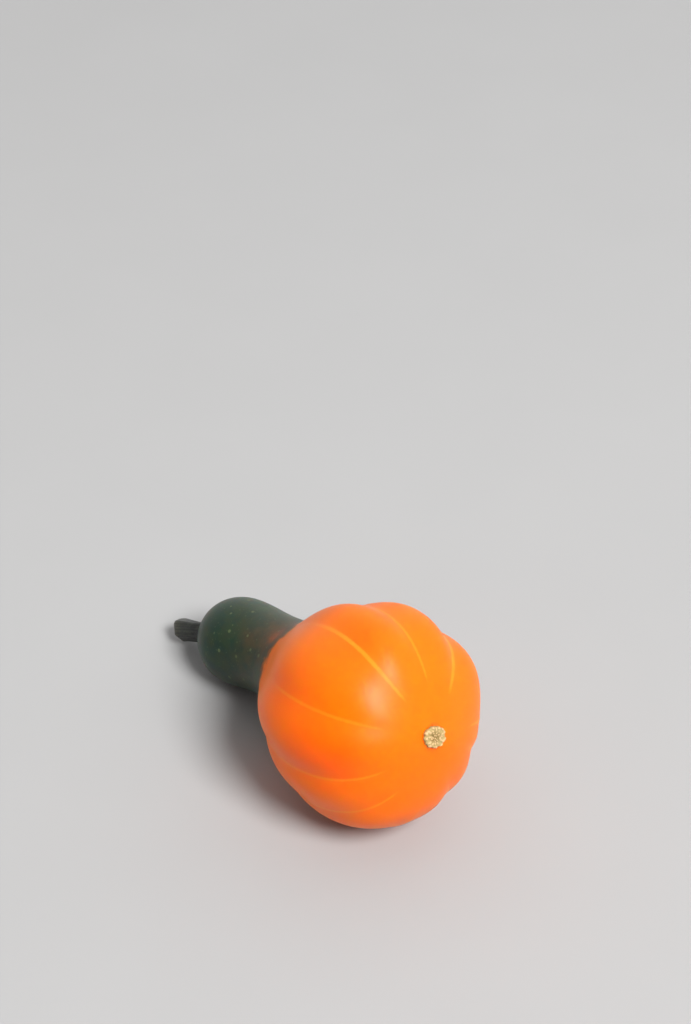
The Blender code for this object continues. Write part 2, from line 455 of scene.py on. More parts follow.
@dataclass(frozen=True)
class GourdForm:
    """The shape of the fruit: a turned profile on a bent axis, with grooves between round lobes.

    Attributes:
        profile: Control points of the profile, as the distance along the axis from the bulb's centre
            and the radius, from the blossom end to the stem end.
        slope: The axis's slope in degrees, as a polynomial in the distance over bend_length.
        turn: The axis's turn to the side in degrees, in the same way.
        bend_length: The length that both polynomials count in.
        centre: The bulb's centre.
        groove_starts: Polar angles between which the grooves grow from nothing, in degrees.
        groove_ends: Polar angles between which they die out along the neck, in degrees.
        samples: How many points the curves are worked out at.
    """

    profile: tuple[tuple[float, float], ...] = (
        (36.2, 0.0),
        (31.1, 23.2),
        (19.6, 37.6),
        (-3.4, 40.7),
        (-20.6, 33.7),
        (-34.0, 24.5),
        (-45.6, 16.8),
        (-63.2, 15.3),
        (-80.6, 18.0),
        (-90.7, 13.5),
        (-96.7, 5.8),
        (-100.1, 0.0),
    )
    slope: tuple[float, float, float] = (17.9, 6.4, 3.7)
    turn: tuple[float, float, float] = (0.0, 8.0, 9.2)
    bend_length: float = 50.0
    centre: tuple[float, float, float] = (0.0, 1.4, 37.95)
    groove_starts: tuple[float, float] = (12.0, 55.0)
    groove_ends: tuple[float, float] = (135.0, 165.0)
    samples: int = 2400

    def outline(self) -> tuple[Array, Array, Array]:
        """The profile: a cubic B-spline through its control points, mirrored at both poles.

        Returns:
            The distances along the axis, the radii, and the length along the skin, in millimetres.
        """
        mirror = np.array([1.0, -1.0])
        points = np.array(self.profile)
        points = np.vstack([points[1] * mirror, points, points[-2] * mirror])
        spans = len(self.profile) - 1
        place = np.linspace(0.0, spans, self.samples)
        first = np.minimum(place.astype(int), spans - 1)
        t = (place - first)[:, None]
        curve = (
            (1 - t) ** 3 * points[first]
            + (3 * t**3 - 6 * t**2 + 4) * points[first + 1]
            + (-3 * t**3 + 3 * t**2 + 3 * t + 1) * points[first + 2]
            + t**3 * points[first + 3]
        ) / 6.0
        length = np.concatenate([[0.0], np.cumsum(np.hypot(*np.diff(curve, axis=0).T))])
        return curve[:, 0], curve[:, 1], length

    def angle(self, coefficients: tuple[float, ...], distance: Array) -> Array:
        """A polynomial in the distance along the axis, in degrees, turned into radians."""
        share = distance / self.bend_length
        return np.radians(sum(c * share**power for power, c in enumerate(coefficients)))

    def axis(self, distance: Array) -> tuple[Array, Array, Array, Array]:
        """The bent axis: its heading, summed up step by step from the bulb's centre.

        Args:
            distance: Distances along the axis from the bulb's centre.

        Returns:
            The points, the tangents, and the up and side directions square to them.
        """
        reach = np.linspace(min(distance.min(), 0.0), max(distance.max(), 0.0), self.samples)
        slope = self.angle(self.slope, reach)
        turn = self.angle(self.turn, reach)
        flat = np.cos(slope)
        heading = np.stack([flat * np.cos(turn), flat * np.sin(turn), np.sin(slope)], axis=1)
        steps = (heading[1:] + heading[:-1]) / 2 * np.diff(reach)[:, None]
        line = np.vstack([np.zeros(3), np.cumsum(steps, axis=0)])
        line += np.array(self.centre) - self.read(0.0, reach, line)
        point = self.read(distance, reach, line)
        tangent = self.read(distance, reach, heading)
        tangent /= np.linalg.norm(tangent, axis=1)[:, None]
        up = np.array([0.0, 0.0, 1.0]) - tangent[:, 2:3] * tangent
        up /= np.linalg.norm(up, axis=1)[:, None]
        return point, tangent, up, np.cross(tangent, up)

    @staticmethod
    def read(distance: Array | float, reach: Array, rows: Array) -> Array:
        """Reads rows of three numbers, given at the points of reach, at some distances."""
        return np.stack([np.interp(distance, reach, column) for column in rows.T], axis=-1)

    def seat(self, radius: float, at_stem: bool) -> tuple[Array, Array, Array, Array]:
        """The flat seat at one end of the fruit.

        Args:
            radius: The seat's radius.
            at_stem: True for the stem's seat, False for the blossom scar's.

        Returns:
            Its centre, and its outward, up and side directions.
        """
        along, across, _ = self.outline()
        if at_stem:
            along = along[::-1]
            across = across[::-1]
        place = np.array([along[int(np.argmax(across > radius))]])
        point, tangent, up, side = self.axis(place)
        outward = -tangent[0] if at_stem else tangent[0]
        return point[0], outward, up[0], side[0]


class Finish:
    """A finish for one piece of the gourd."""

    def material(self) -> bpy.types.Material:
        """Makes the material, which each finish does in its own way."""
        raise NotImplementedError


class GourdPart:
    """A piece of the gourd, made from one grid of points and then dressed."""

    piece: ClassVar[Piece]

    def surface(self) -> TurnedGrid:
        """Works out the grid, which each piece does in its own way."""
        raise NotImplementedError

    def build(self, finish: Finish) -> bpy.types.Object:
        """Makes the piece and dresses it in its finish."""
        obj = self.surface().make(f"gourd_{self.piece.node}")
        return settle(obj, self.piece, finish.material())


@dataclass
class Fruit(GourdPart):
    """The bulb, neck and head, as one skin.

    Attributes:
        form: The shape.
        rings: How many rings of points run along the skin.
        sides: How many points lie on a ring.
        softness: How softly a groove's bottom is rounded, as a share of half a lobe.
        inset: How far the skin lies inside the turned form, so that it stays in the solid's box.
        lump_height: Height of the skin's uneven rise and fall.
        lump_size: Length of that rise and fall.
        lump_waves: How many waves make it up, and the seed that they are drawn from.
        pole_zone: Radius below which the skin nears the turned form again, towards both poles.
        scar_dimple: Depth and radius of the dimple round the blossom scar.
        stem_dimple: Depth and radius of the dimple round the stem.
        floor_softness: How softly the skin meets the floor.
        line_tips: Angles past a golden line's end between which it comes into sight, in degrees.
        line_taper: The least share of its width that a golden line has, and the angle past its end, in
            degrees, at which it is fully wide.
        line_tails: Polar angles between which the golden lines fade out towards the neck, in degrees.
        sway_length: The change in polar angle over which a groove wanders to and fro once, in degrees.
        lean_ends: Polar angles between which the grooves lose their lean, in degrees.
        ripe_and_lit_side: Azimuth of the side where the orange is most yellow, from ripeness and painted
            light, in degrees.
    """

    piece: ClassVar[Piece] = Piece.FRUIT
    form: GourdForm
    rings: int = 248
    sides: int = 360
    softness: float = 0.30
    inset: float = 0.08
    lump_height: float = 0.06
    lump_size: float = 26.0
    lump_waves: tuple[int, int] = (9, 4)
    pole_zone: float = 12.0
    scar_dimple: tuple[float, float] = (0.55, 6.0)
    stem_dimple: tuple[float, float] = (0.5, 4.6)
    floor_softness: float = 0.16
    line_tips: tuple[float, float] = (-1.0, 7.0)
    line_taper: tuple[float, float] = (0.55, 24.0)
    line_tails: tuple[float, float] = (70.0, 125.0)
    sway_length: float = 110.0
    lean_ends: tuple[float, float] = (20.0, 80.0)
    ripe_and_lit_side: float = 330.0

    def lobe_places(self, polar: Array) -> tuple[Array, Array, Array, Array]:
        """Where each point of each ring lies among the grooves, with a point in every groove.

        A groove's azimuth is its own place, plus its lean, which fades out away from the blossom scar,
        plus its sway times the sine of its phase and the polar angle.

        Args:
            polar: The polar angle of each ring about the bulb's centre, in degrees.

        Returns:
            The azimuth in radians, the share of the way across the lobe, the lobe's width in radians,
            and the number of the groove that starts the lobe, each as rings by sides, or by sides.
        """
        azimuth = of_grooves("azimuth")
        widths = np.diff(np.append(azimuth, azimuth[0] + 360.0))
        counts = np.round(widths / 360.0 * self.sides).astype(int)
        counts[int(np.argmax(counts))] += self.sides - counts.sum()
        lobe = np.repeat(np.arange(len(GROOVES)), counts)
        share = np.concatenate([np.arange(count) / count for count in counts])
        turns = of_grooves("sway_phase") + polar[:, None] / self.sway_length
        lean = of_grooves("lean") * (1.0 - smooth_step(polar, *self.lean_ends))[:, None]
        lines = azimuth + of_grooves("sway") * np.sin(FULL_TURN * turns) + lean
        lines = np.hstack([lines, lines[:, :1] + 360.0])
        starts = lines[:, lobe]
        width = lines[:, lobe + 1] - starts
        return np.radians(starts + share * width), share, np.radians(width), lobe

    def relief(self, share: Array, lobe: Array) -> Array:
        """How far the skin sinks across the lobes.

        The distance from the groove is 0 in it and 1 on the crest, and its corner is rounded off with a
        root of squares. The sinking falls off as the square of one less that distance, and a swelling
        lobe rises by what is left.

        Args:
            share: The share of the way across the lobe.
            lobe: The number of the groove that starts the lobe.

        Returns:
            The sinking at each place round the ring, as a share of the radius.
        """
        depth = of_grooves("depth")
        swell = of_grooves("swell")
        from_groove = 1.0 - np.abs(2.0 * share - 1.0)
        rounded = np.hypot(from_groove, self.softness) - self.softness
        edge = (1.0 - rounded / (math.hypot(1.0, self.softness) - self.softness)) ** 2
        mixed = depth[lobe] * (1.0 - share) + depth[(lobe + 1) % len(GROOVES)] * share
        return mixed * edge - swell[lobe] * (1.0 - edge)

    def surface(self) -> TurnedGrid:
        """The whole skin as rings of points with what the finish needs to know at each point.

        Returns:
            The grid, with the distance to the nearest groove, the strength and width of its golden line,
            the place along the axis, the distance from the blossom end, how ripe and how lit the side is,
            which paints light as yellower orange, and the patches.
        """
        along, across, length = self.form.outline()
        stations = np.linspace(0.0, length[-1], self.rings + 2)[1:-1]
        axial = np.interp(stations, length, along)
        radius = np.interp(stations, length, across)
        polar = np.degrees(np.arctan2(radius, axial))
        azimuth, share, width, lobe = self.lobe_places(polar)
        strength = smooth_step(polar, *self.form.groove_starts)
        strength = strength * (1.0 - smooth_step(polar, *self.form.groove_ends))
        point, tangent, up, side = self.form.axis(axial)
        out = outwards(azimuth, up[:, None], side[:, None])
        plain = point[:, None] + radius[:, None, None] * out
        lumps = gentle_waves(plain, self.lump_size, *self.lump_waves) * self.lump_height
        reach = radius[:, None] * (1.0 - strength[:, None] * self.relief(share, lobe)[None, :])
        sunk = self.inset + self.lump_height - lumps
        reach = reach - sunk * smooth_step(radius, 0.0, self.pole_zone)[:, None]
        from_blossom = stations
        from_stem = length[-1] - stations
        push = self.dimple(from_stem, self.stem_dimple) - self.dimple(from_blossom, self.scar_dimple)
        rings = point[:, None] + reach[..., None] * out + (push[:, None] * tangent)[:, None]
        rings[..., 2] = self.rest_on_floor(rings[..., 2])
        ends, end_tangents, _, _ = self.form.axis(np.array([along[0], along[-1]]))
        poles = ends + end_tangents * np.array([[-self.scar_dimple[0]], [self.stem_dimple[0]]])
        to_groove = np.minimum(share, 1.0 - share) * width * radius[:, None]
        nearest = np.where(share < 0.5, lobe, (lobe + 1) % len(GROOVES))
        past_end = polar[:, None] - of_grooves("vein_end")[nearest]
        tip = smooth_step(past_end, *self.line_tips)
        tail = 1.0 - smooth_step(polar, *self.line_tails)
        least, full = self.line_taper
        taper = least + (1.0 - least) * smooth_step(past_end, 0.0, full)
        return TurnedGrid(
            rings,
            poles[0],
            poles[1],
            {
                "to_groove": to_groove,
                "line_strength": of_grooves("vein")[nearest] * tip * tail[:, None],
                "line_width": of_grooves("vein_width")[nearest] * taper,
                "along_axis": axial[:, None],
                "from_blossom": from_blossom[:, None],
                # Ripeness and painted light: the upper side, where the lights fall, turns yellower.
                "ripeness_and_painted_light": 0.5 + 0.5 * np.cos(azimuth - math.radians(self.ripe_and_lit_side)),
                "ruddy": self.patch_strength(RUDDY_PATCHES, rings),
                "rusty": self.patch_strength(RUSTY_PATCHES, rings),
                # Painted sheen: where the pale grazing light is laid on the skin.
                "painted_sheen": self.patch_strength(PAINTED_SHEEN_PATCHES, rings),
            },
        )

    def patch_strength(self, patches: tuple[Patch, ...], points: Array) -> Array:
        """How clearly soft patches show: the sum of a bell curve of the distance from each middle.

        Args:
            patches: The patches.
            points: The skin's points, in millimetres.

        Returns:
            The strength at each point, from 0 to 1.
        """
        along, across, _ = self.form.outline()
        axial, azimuth, size, strength = np.array([astuple(patch) for patch in patches]).T
        point, _, up, side = self.form.axis(axial)
        out = outwards(np.radians(azimuth), up, side)
        middles = point + np.interp(-axial, -along, across)[:, None] * out
        apart = np.linalg.norm(points[..., None, :] - middles, axis=-1)
        return np.clip((strength * np.exp(-((apart / size) ** 2))).sum(axis=-1), 0.0, 1.0)

    def dimple(self, distance: Array, size: tuple[float, float]) -> Array:
        """A round dimple of some depth and radius: a bell curve of the distance from its middle."""
        depth, radius = size
        return depth * np.exp(-((distance / radius) ** 2))

    def rest_on_floor(self, height: Array) -> Array:
        """Presses the underside flat: half the sum of the height and its softened size."""
        return 0.5 * (height + np.sqrt(height**2 + self.floor_softness**2))


@dataclass
class Stem(GourdPart):
    """The cut stalk: a turned profile with blunt ridges and finer fibres, and a dished cut end.

    Attributes:
        form: The shape of the fruit that it grows from.
        length: The stem's length from its seat.
        seat_radius: The radius of its seat on the fruit.
        seat_gap: The gap between the seat and the stem's solid.
        stations: Places along the stem, as shares of its length.
        radii: The radius at each station.
        ridges: How many blunt ridges run along it.
        ridge_rise: How far the ridges stand out past the mean radius, as a share of it.
        flute_depth: How deep the hollows between the ridges are, as a share of the radius.
        fibres: How many fine fibres run along it.
        fibre_depth: Their depth.
        fibre_sway: How far they wander to the side, in radians of their own wave, and how many times they
            do so round the stem.
        twist: How far the ridges turn along the stem, in degrees.
        slant: How much shorter the stem is on one side of its cut end than on the other.
        slant_side: Azimuth of the shorter side, in degrees.
        slant_start: Where the slant starts to show, as a share of the length.
        dish: How far the cut end sinks towards its middle.
        dish_ripple: Height of the two rings on the cut end.
        cut_middle: How deep the middle of the cut lies below its rim.
        rough: The most that the bark's unevenness takes off its radius on average.
        rough_waves: The length of its waves, their number, and the seed that they are drawn from.
        root: How far the stem's foot sinks into the skin.
        inset: How far the bark lies inside the solid's outline.
        rings: How many rings of points run along the stem.
        sides: How many points lie on a ring.
        cut_rings: How many rings lie on the cut end.
    """

    piece: ClassVar[Piece] = Piece.STEM
    form: GourdForm
    length: float = 15.78
    seat_radius: float = 4.2
    seat_gap: float = 0.3
    stations: tuple[float, ...] = (0.0, 0.06, 0.16, 0.35, 0.6, 0.8, 0.88, 0.94, 0.98, 1.0)
    radii: tuple[float, ...] = (4.6, 4.3, 4.05, 4.05, 4.3, 4.55, 4.45, 4.05, 3.4, 2.7)
    ridges: int = 5
    ridge_rise: float = 0.055
    flute_depth: float = 0.13
    fibres: int = 23
    fibre_depth: float = 0.06
    fibre_sway: tuple[float, float] = (1.5, 3.0)
    twist: float = 14.0
    slant: float = 2.2
    slant_side: float = 122.0
    slant_start: float = 0.55
    dish: float = 0.55
    dish_ripple: float = 0.10
    cut_middle: float = 0.62
    rough: float = 0.05
    rough_waves: tuple[float, int, int] = (2.6, 8, 9)
    root: float = 1.2
    inset: float = 0.08
    rings: int = 90
    sides: int = 180
    cut_rings: int = 16

    def radius_at(self, share: Array) -> Array:
        """The stem's radius, with the corners between its stations rounded off by a short average.

        Args:
            share: Places along the stem, as shares of its length.

        Returns:
            The radius at each place.
        """
        offsets = np.linspace(-0.03, 0.03, 7)
        near = np.clip(share[:, None] + offsets, 0.0, 1.0)
        return np.interp(near, self.stations, self.radii).mean(axis=1)

    def surface(self) -> TurnedGrid:
        """The stem's bark and cut end as rings of points.

        The radius is the profile times the ridges, which are a squared cosine, less the fibres' cosine,
        and the cut end is a disc that sinks towards its middle.

        Returns:
            The grid, with the place along the stem, the fibres and which points lie on the cut.
        """
        seat, outward, up, side = self.form.seat(self.seat_radius, at_stem=True)
        azimuth = np.linspace(0.0, FULL_TURN, self.sides, endpoint=False)
        share = np.linspace(-self.root / self.length, 1.0, self.rings)
        radius = self.radius_at(np.clip(share, 0.0, 1.0)) - self.inset
        crest = (0.5 + 0.5 * np.cos(self.ridges * azimuth)) ** 2
        ridge = 1.0 + self.ridge_rise - self.flute_depth * (1.0 - crest)
        sway, sways = self.fibre_sway
        fibre = np.cos(self.fibres * azimuth + sway * np.sin(sways * azimuth)) * 0.5 + 0.5
        bark = radius[:, None] * ridge[None, :] - self.fibre_depth * fibre[None, :]
        inward = np.linspace(1.0, 0.0, self.cut_rings + 2)[1:-1]
        cut = inward[:, None] * bark[-1][None, :]
        dish = self.dish * (1.0 - inward**2) + self.dish_ripple * np.cos(2.0 * FULL_TURN * inward)
        reach = np.vstack([bark, cut])
        place = np.concatenate([share * self.length, self.length - dish]) + self.seat_gap
        turned = np.radians(self.twist) * np.clip(place, 0.0, self.length)[:, None] / self.length
        angle = azimuth[None, :] + turned
        out = outwards(angle, up, side)
        rim_share = np.concatenate([np.ones(self.rings), inward])[:, None]
        shorter = 0.5 + 0.5 * rim_share * np.cos(angle - math.radians(self.slant_side))
        slanting = smooth_step(share, self.slant_start, 1.0)
        near_cut = np.concatenate([slanting, np.ones(self.cut_rings)])[:, None]
        centre = seat + (place[:, None] - self.slant * near_cut * shorter)[..., None] * outward
        rough = gentle_waves(centre + reach[..., None] * out, *self.rough_waves) * self.rough
        on_bark = np.concatenate([np.ones(self.rings), np.zeros(self.cut_rings)])
        reach = reach - (self.rough - rough) * on_bark[:, None]
        middle = self.length + self.seat_gap - self.cut_middle - 0.5 * self.slant
        return TurnedGrid(
            centre + reach[..., None] * out,
            seat - outward * (self.root - self.seat_gap),
            seat + outward * middle,
            {"along_stem": place[:, None], "fibre": fibre, "on_cut": (1.0 - on_bark)[:, None]},
        )


@dataclass
class BlossomScar(GourdPart):
    """The corky scar where the blossom was: a low disc of crumbly knobs round a sunk middle.

    Attributes:
        form: The shape of the fruit that it sits on.
        seat_radius: The radius of its seat on the fruit.
        seat_gap: The gap between the seat and the scar's solid.
        radius: The scar's mean radius.
        stretch: How much wider it is one way than the other, as a share.
        stretch_side: Azimuth of the wider way, in degrees.
        height: The height of its rim above its foot.
        knob_height: How far the knobs stand out of it.
        hollow: How far its middle sinks.
        foot: How far its wall runs down into the skin.
        knob_seed: The seed that the knobs' places and sizes are drawn from.
        knob_turn: How far a knob strays round its ring, as a share of the knobs' spacing.
        knob_shift: Between which shares of the radius it strays inwards and outwards.
        knob_length: Between which shares of its ring's own a knob's reach outwards lies.
        knob_width: Between which shares of its ring's own a knob's reach sideways lies.
        knob_rings: For each ring of knobs, how many there are, their distance from the middle, and their
            reach outwards and sideways, all three as shares of the radius.
        rim_place: Where the knobs are read that shape the rim, as a share of the radius.
        rim_relief: How far the rim stands out where there is a knob, as a share of the radius.
        rim_height: How high the rim still stands at its edge, as a share of the height inside it.
        shoulder: How sharply the top rounds over at the rim, as a power of the share of the way out.
        bed: How high the scar is between its knobs, as a share of its height.
        thinnest: The least height of its top.
        hollow_edge: Where the sunk middle ends, as a share of the way out.
        pit_edges: Shares of the way out between which the dark pits fade.
        crumb_height: The height of the fine crumbs.
        crumb_waves: The length of their waves, their number, and the seed that they are drawn from.
        rings: How many rings of points lie on its top.
        sides: How many points lie on a ring.
    """

    piece: ClassVar[Piece] = Piece.SCAR
    form: GourdForm
    seat_radius: float = 5.4
    seat_gap: float = 0.3
    radius: float = 4.48
    stretch: float = 0.15
    stretch_side: float = 58.0
    height: float = 0.85
    knob_height: float = 0.46
    hollow: float = 0.5
    foot: float = 0.75
    knob_seed: int = 12
    knob_turn: float = 0.36
    knob_shift: tuple[float, float] = (-0.06, 0.04)
    knob_length: tuple[float, float] = (0.75, 1.2)
    knob_width: tuple[float, float] = (0.8, 1.3)
    knob_rings: tuple[tuple[int, float, float, float], ...] = (
        (15, 0.88, 0.13, 0.135),
        (12, 0.64, 0.15, 0.095),
        (8, 0.40, 0.12, 0.085),
        (4, 0.17, 0.08, 0.075),
    )
    rim_place: float = 0.93
    rim_relief: float = 0.10
    rim_height: float = 0.35
    shoulder: int = 8
    bed: float = 0.55
    thinnest: float = 0.05
    hollow_edge: float = 0.75
    pit_edges: tuple[float, float] = (0.2, 0.75)
    crumb_height: float = 0.11
    crumb_waves: tuple[float, int, int] = (0.95, 12, 21)
    rings: int = 56
    sides: int = 208

    def knobs(self) -> tuple[Array, Array, Array]:
        """Places the knobs: a ring at the rim, longer ones inside it, and a few round the middle.

        Returns:
            Their middles as shares of the radius, and their sizes outwards and sideways.
        """
        draw = np.random.default_rng(self.knob_seed)
        middles, outward_sizes, side_sizes = [], [], []
        for count, ring, long, wide in self.knob_rings:
            strayed = np.arange(count) + draw.uniform(-self.knob_turn, self.knob_turn, count)
            angle = strayed / count * FULL_TURN
            place = ring + draw.uniform(*self.knob_shift, count)
            middles.append(np.stack([place * np.cos(angle), place * np.sin(angle)], axis=1))
            outward_sizes.append(long * draw.uniform(*self.knob_length, count))
            side_sizes.append(wide * draw.uniform(*self.knob_width, count))
        return np.vstack(middles), np.concatenate(outward_sizes), np.concatenate(side_sizes)

    def knob_relief(self, share: Array, azimuth: Array) -> Array:
        """The knobs' height: at each point, the highest of the round caps of all knobs.

        Args:
            share: The share of the way out, one for each ring.
            azimuth: The angle round the scar, one for each side.

        Returns:
            The height between 0 and 1, as rings by sides.
        """
        middles, long, wide = self.knobs()
        spot = share[:, None, None] * np.stack([np.cos(azimuth), np.sin(azimuth)], axis=1)[None]
        apart = spot[:, :, None] - middles
        away = middles / np.linalg.norm(middles, axis=1)[:, None]
        outward = (apart * away).sum(axis=-1) / long
        sideways = (apart[..., 0] * away[:, 1] - apart[..., 1] * away[:, 0]) / wide
        cap = np.sqrt(np.clip(1.0 - outward**2 - sideways**2, 0.0, 1.0))
        return cap.max(axis=-1)

    def surface(self) -> TurnedGrid:
        """The scar's top and wall as rings of points, from its middle to its foot.

        A point's height is a share of the rim's height less the sunk middle, plus the knobs and some fine
        crumbs, and it rounds over at the rim.

        Returns:
            The grid, with the knobs' height and how deep in a pit each point lies.
        """
        seat, outward, up, side = self.form.seat(self.seat_radius, at_stem=False)
        azimuth = np.linspace(0.0, FULL_TURN, self.sides, endpoint=False)
        share = np.linspace(0.0, 1.0, self.rings + 1)[1:]
        knob = self.knob_relief(share, azimuth)
        rim = self.knob_relief(np.full(1, self.rim_place), azimuth)[0]
        wider = 1.0 + self.stretch * np.cos(2.0 * (azimuth - math.radians(self.stretch_side)))
        edge = self.radius * wider * (1.0 - self.rim_relief + self.rim_relief * rim)
        rounding = np.sqrt(np.clip(1.0 - share**self.shoulder, 0.0, 1.0))
        sunk = self.hollow * (1.0 - smooth_step(share, 0.0, self.hollow_edge))
        flat = np.stack([np.cos(azimuth), np.sin(azimuth), np.zeros(self.sides)], axis=1)
        spread = share[:, None, None] * flat * self.radius
        crumbs = gentle_waves(spread, *self.crumb_waves) * self.crumb_height
        top = (self.bed * self.height - sunk)[:, None] + knob * self.knob_height + crumbs
        rounded = self.rim_height + (1.0 - self.rim_height) * rounding[:, None]
        top = np.maximum(top, self.thinnest) * rounded
        height = np.vstack([top, np.full((1, self.sides), -self.foot)])
        reach = np.vstack([share[:, None] * edge, edge])
        out = outwards(azimuth, up, side)
        base = seat + outward * self.seat_gap
        # How deep in a pit each point lies, which the cork paints as shade.
        pit = (1.0 - knob) * (1.0 - smooth_step(share, *self.pit_edges))[:, None]
        return TurnedGrid(
            base + height[..., None] * outward + reach[..., None] * out,
            base + outward * float(top[0].mean()),
            base - outward * self.foot,
            {"knob": np.vstack([knob, 0.0 * knob[:1]]), "pit": np.vstack([pit, 0.0 * pit[:1]])},
        )


@dataclass(frozen=True)
class SkinFinish(Finish):
    """The waxy skin: orange on the bulb, golden lines in the grooves, green and speckled on the neck.

    The colours bear the names of what they paint, and lengths are in millimetres.

    Attributes:
        orange_roughness: How dull the orange is.
        green_roughness: How dull the green is.
        line_width: Half the width of a plain golden line.
        line_wobble: How uneven that width is.
        line_edge: Distances inside a line's edge between which its gold comes into sight.
        shade_ring_edge: Distances from the blossom end between which the darker, redder ring of painted
            shade round the scar fades in.
        raggedness: How far blotches push the edge between orange and green along the axis.
        green_edge: Places along the axis between which orange turns green, once the blotches are added.
        olive_edge: Places along the axis between which the green turns more olive towards the bulb.
        speck_layers: For each layer of specks, the distance between them, the largest one's radius, the
            share of them that stays away, and how clearly they show.
    """

    # The yellowest orange, in blotches and on the upper side, where it also paints light.
    ripe_and_lit_orange: Colour = (0.98, 0.180, 0.002)
    deep_orange: Colour = (0.98, 0.158, 0.002)
    ruddy_orange: Colour = (0.98, 0.102, 0.002)
    golden: Colour = (0.99, 0.280, 0.012)
    # Dark red of the ring of painted shade round the blossom scar.
    scar_ring_shade: Colour = (0.58, 0.11, 0.010)
    leaf_green: Colour = (0.024, 0.042, 0.022)
    blue_green: Colour = (0.015, 0.037, 0.025)
    olive: Colour = (0.053, 0.050, 0.022)
    rust: Colour = (0.23, 0.066, 0.019)
    # The pale grey-green of the painted sheen on the neck's top and the bulb's edge.
    painted_sheen: Colour = (0.135, 0.145, 0.115)
    speck: Colour = (0.12, 0.15, 0.065)
    orange_roughness: float = 0.36
    green_roughness: float = 0.38
    line_width: float = 0.50
    line_wobble: float = 0.45
    line_edge: tuple[float, float] = (-0.45, 0.35)
    shade_ring_edge: tuple[float, float] = (5.4, 4.3)
    raggedness: float = 20.0
    green_edge: tuple[float, float] = (-25.5, -31.5)
    olive_edge: tuple[float, float] = (-74.0, -50.0)
    speck_layers: tuple[tuple[float, float, float, float], ...] = (
        (2.9, 0.88, 0.34, 0.68),
        (1.2, 0.42, 0.22, 0.42),
    )

    def material(self) -> bpy.types.Material:
        """Mixes the skin's colours from its place on the fruit and a few layers of random blotches.

        Returns:
            The skin's material.
        """
        nodes = Shading("gourd_skin")
        place = nodes.place()
        colour = self.orange(nodes, place)
        colour = self.lines(nodes, place, colour)
        # A darker, redder ring round the blossom scar: painted shade where the scar meets the skin, over the
        # skin's own redder edge.
        ring = nodes.maths(
            Sum.TIMES,
            nodes.rise(nodes.value_of("from_blossom"), *self.shade_ring_edge),
            nodes.rise(nodes.noise(place, 1.4), 0.3, 0.7, 0.4, 0.9),
        )
        colour = nodes.mix(ring, colour, self.scar_ring_shade)
        greenness = self.green_share(nodes, place)
        colour = nodes.mix(greenness, colour, self.neck(nodes, place))
        colour = self.specks(nodes, place, colour, greenness)
        grain = nodes.noise(place, 0.9, detail=4.0, roughness=0.6)
        dull = nodes.maths(Sum.TIMES_PLUS, grain, 0.10, self.orange_roughness - 0.05)
        extra = self.green_roughness - self.orange_roughness
        roughness = nodes.maths(Sum.TIMES_PLUS, greenness, extra, dull)
        pores = nodes.bump(nodes.noise(place, 0.35, detail=3.0), 0.03, 0.25)
        waves = nodes.bump(nodes.noise(place, 3.2, detail=2.0), 0.10, 0.35, under=pores)
        return nodes.finish(
            {
                "Base Color": colour,
                "Roughness": roughness,
                "Normal": waves,
                "Specular IOR Level": 0.16,
                "Sheen Weight": 0.01,
                "Sheen Roughness": 0.35,
                "Subsurface Weight": 0.6,
                "Subsurface Radius": (1.0, 0.12, 0.03),
                "Subsurface Scale": 0.02,
            }
        )

    def orange(self, nodes: Shading, place: Socket) -> Socket:
        """Orange that turns deeper away from the upper side, where ripeness and painted light make it
        yellower, and in soft blotches, with ruddy patches.

        Args:
            nodes: The material's nodes.
            place: The point on the skin, in millimetres.

        Returns:
            The bulb's colour.
        """
        blotch = nodes.noise(place, 26.0, detail=3.0, roughness=0.5)
        fine = nodes.noise(place, 2.6, detail=4.0, roughness=0.65)
        # The side term paints light as well as ripeness: the upper side, where the lights fall, turns
        # yellower.
        tone = nodes.maths(Sum.TIMES_PLUS, blotch, 0.5, nodes.value_of("ripeness_and_painted_light"))
        tone = nodes.maths(Sum.TIMES_PLUS, fine, 0.2, tone)
        colour = nodes.mix(nodes.rise(tone, 0.40, 1.0), self.deep_orange, self.ripe_and_lit_orange)
        return nodes.mix(nodes.value_of("ruddy"), colour, self.ruddy_orange)

    def lines(self, nodes: Shading, place: Socket, colour: Socket) -> Socket:
        """Golden lines along the grooves, of uneven width, that end in points near the blossom scar.

        Args:
            nodes: The material's nodes.
            place: The point on the skin, in millimetres.
            colour: The colour below the lines.

        Returns:
            The colour with its lines.
        """
        wobble = nodes.noise(place, 1.3, detail=3.0)
        width = nodes.maths(Sum.TIMES, nodes.value_of("line_width"), self.line_width)
        width = nodes.maths(Sum.TIMES_PLUS, nodes.maths(Sum.LESS, wobble, 0.5), self.line_wobble, width)
        inside = nodes.maths(Sum.LESS, width, nodes.value_of("to_groove"))
        sharp = nodes.rise(inside, *self.line_edge)
        mask = nodes.maths(Sum.TIMES, sharp, nodes.value_of("line_strength"))
        return nodes.mix(mask, colour, self.golden)

    def green_share(self, nodes: Shading, place: Socket) -> Socket:
        """How green the skin is: a ragged edge where the bulb runs into the neck.

        Args:
            nodes: The material's nodes.
            place: The point on the skin, in millimetres.

        Returns:
            The share of green, from 0 to 1.
        """
        ragged = nodes.noise(place, 9.0, detail=5.0, roughness=0.62)
        edge = nodes.maths(Sum.TIMES_PLUS, ragged, self.raggedness, nodes.value_of("along_axis"))
        return nodes.rise(edge, *self.green_edge)

